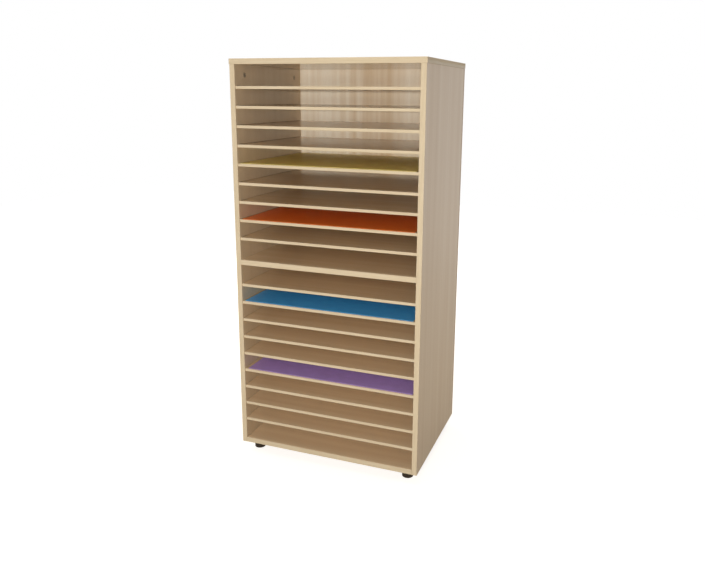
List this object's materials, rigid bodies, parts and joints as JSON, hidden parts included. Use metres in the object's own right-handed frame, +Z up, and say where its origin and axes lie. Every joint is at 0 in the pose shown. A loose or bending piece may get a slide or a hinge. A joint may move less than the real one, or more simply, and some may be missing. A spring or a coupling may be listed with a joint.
{
  "type": "paper storage cabinet",
  "caption": "Tall open-fronted cabinet of faced boards with closely spaced thin shelves for large sheets of paper and card, standing on adjustable feet.",
  "frame": {"origin": "on the floor, under the middle of the cabinet's plan", "axes": "+Z up, the open front faces -Y, +X to the right seen from the front"},
  "size_m": [0.708, 0.522, 1.47],
  "materials": {
    "beech_board": "satin melamine facing with a pale beech grain",
    "thin_shelf": "satin melamine facing with a pale beech grain",
    "back_board": "satin melamine facing with an upright grain",
    "cam_zinc": "dark die-cast zinc",
    "bolt_steel": "zinc plated",
    "dowel_wood": "bare beech",
    "foot_plastic": "black moulded",
    "card_yellow": "matt coloured card",
    "card_orange": "matt coloured card",
    "card_blue": "matt coloured card",
    "card_violet": "matt coloured card"
  },
  "bodies": {
    "carcass": {"left_side": "beech_board", "right_side": "beech_board", "top_panel": "beech_board", "bottom_panel": "beech_board", "middle_shelf": "beech_board", "back_panel": "back_board", "shelf_01": "thin_shelf", "shelf_02": "thin_shelf", "shelf_03": "thin_shelf", "shelf_04": "thin_shelf", "shelf_05": "thin_shelf", "shelf_06": "thin_shelf", "shelf_07": "thin_shelf", "shelf_08": "thin_shelf", "shelf_09": "thin_shelf", "shelf_10": "thin_shelf", "shelf_11": "thin_shelf", "shelf_12": "thin_shelf", "shelf_13": "thin_shelf", "shelf_14": "thin_shelf", "shelf_15": "thin_shelf", "shelf_16": "thin_shelf", "shelf_17": "thin_shelf", "shelf_18": "thin_shelf", "top_front_left_cam": "cam_zinc", "top_front_right_cam": "cam_zinc", "top_rear_left_cam": "cam_zinc", "top_rear_right_cam": "cam_zinc", "bottom_front_left_cam": "cam_zinc", "bottom_front_right_cam": "cam_zinc", "bottom_rear_left_cam": "cam_zinc", "bottom_rear_right_cam": "cam_zinc", "top_front_left_bolt": "bolt_steel", "top_front_right_bolt": "bolt_steel", "top_rear_left_bolt": "bolt_steel", "top_rear_right_bolt": "bolt_steel", "bottom_front_left_bolt": "bolt_steel", "bottom_front_right_bolt": "bolt_steel", "bottom_rear_left_bolt": "bolt_steel", "bottom_rear_right_bolt": "bolt_steel", "dowel_front_left": "dowel_wood", "dowel_front_right": "dowel_wood", "dowel_rear_left": "dowel_wood", "dowel_rear_right": "dowel_wood", "foot_socket_front_left": "foot_plastic", "foot_socket_front_right": "foot_plastic", "foot_socket_rear_left": "foot_plastic", "foot_socket_rear_right": "foot_plastic"},
    "pad_front_left": {"foot_pad_front_left": "foot_plastic"},
    "pad_front_right": {"foot_pad_front_right": "foot_plastic"},
    "pad_rear_left": {"foot_pad_rear_left": "foot_plastic"},
    "pad_rear_right": {"foot_pad_rear_right": "foot_plastic"},
    "spindle_front_left": {"foot_spindle_front_left": "bolt_steel"},
    "spindle_front_right": {"foot_spindle_front_right": "bolt_steel"},
    "spindle_rear_left": {"foot_spindle_rear_left": "bolt_steel"},
    "spindle_rear_right": {"foot_spindle_rear_right": "bolt_steel"},
    "sheet_yellow": {"card_yellow": "card_yellow"},
    "sheet_orange": {"card_orange": "card_orange"},
    "sheet_blue": {"card_blue": "card_blue"},
    "sheet_violet": {"card_violet": "card_violet"}
  },
  "joints": [
    {"name": "front_left_level", "type": "slide", "parent": "carcass", "child": "pad_front_left", "axis": [0, 0, -1], "range_m": [0, 0.009]},
    {"name": "front_right_level", "type": "slide", "parent": "carcass", "child": "pad_front_right", "axis": [0, 0, -1], "range_m": [0, 0.009]},
    {"name": "rear_left_level", "type": "slide", "parent": "carcass", "child": "pad_rear_left", "axis": [0, 0, -1], "range_m": [0, 0.009]},
    {"name": "rear_right_level", "type": "slide", "parent": "carcass", "child": "pad_rear_right", "axis": [0, 0, -1], "range_m": [0, 0.009]},
    {"name": "front_left_screw", "type": "hinge", "parent": "pad_front_left", "child": "spindle_front_left", "pos_m": [-0.304, -0.211, 0.03], "axis": [0, 0, -1], "range_deg": [-30, 2400]},
    {"name": "front_right_screw", "type": "hinge", "parent": "pad_front_right", "child": "spindle_front_right", "pos_m": [0.304, -0.211, 0.03], "axis": [0, 0, -1], "range_deg": [-30, 2400]},
    {"name": "rear_left_screw", "type": "hinge", "parent": "pad_rear_left", "child": "spindle_rear_left", "pos_m": [-0.304, 0.211, 0.03], "axis": [0, 0, -1], "range_deg": [-30, 2400]},
    {"name": "rear_right_screw", "type": "hinge", "parent": "pad_rear_right", "child": "spindle_rear_right", "pos_m": [0.304, 0.211, 0.03], "axis": [0, 0, -1], "range_deg": [-30, 2400]},
    {"name": "yellow_slide", "type": "slide", "parent": "carcass", "child": "sheet_yellow", "axis": [0, -1, 0], "range_m": [0, 0.4]},
    {"name": "orange_slide", "type": "slide", "parent": "carcass", "child": "sheet_orange", "axis": [0, -1, 0], "range_m": [0, 0.4]},
    {"name": "blue_slide", "type": "slide", "parent": "carcass", "child": "sheet_blue", "axis": [0, -1, 0], "range_m": [0, 0.4]},
    {"name": "violet_slide", "type": "slide", "parent": "carcass", "child": "sheet_violet", "axis": [0, -1, 0], "range_m": [0, 0.4]}
  ],
  "couplings": [
    {"joint": "front_left_screw", "follows": "front_left_level", "rad_per_m": 4188.8},
    {"joint": "front_right_screw", "follows": "front_right_level", "rad_per_m": 4188.8},
    {"joint": "rear_left_screw", "follows": "rear_left_level", "rad_per_m": 4188.8},
    {"joint": "rear_right_screw", "follows": "rear_right_level", "rad_per_m": 4188.8}
  ]
}
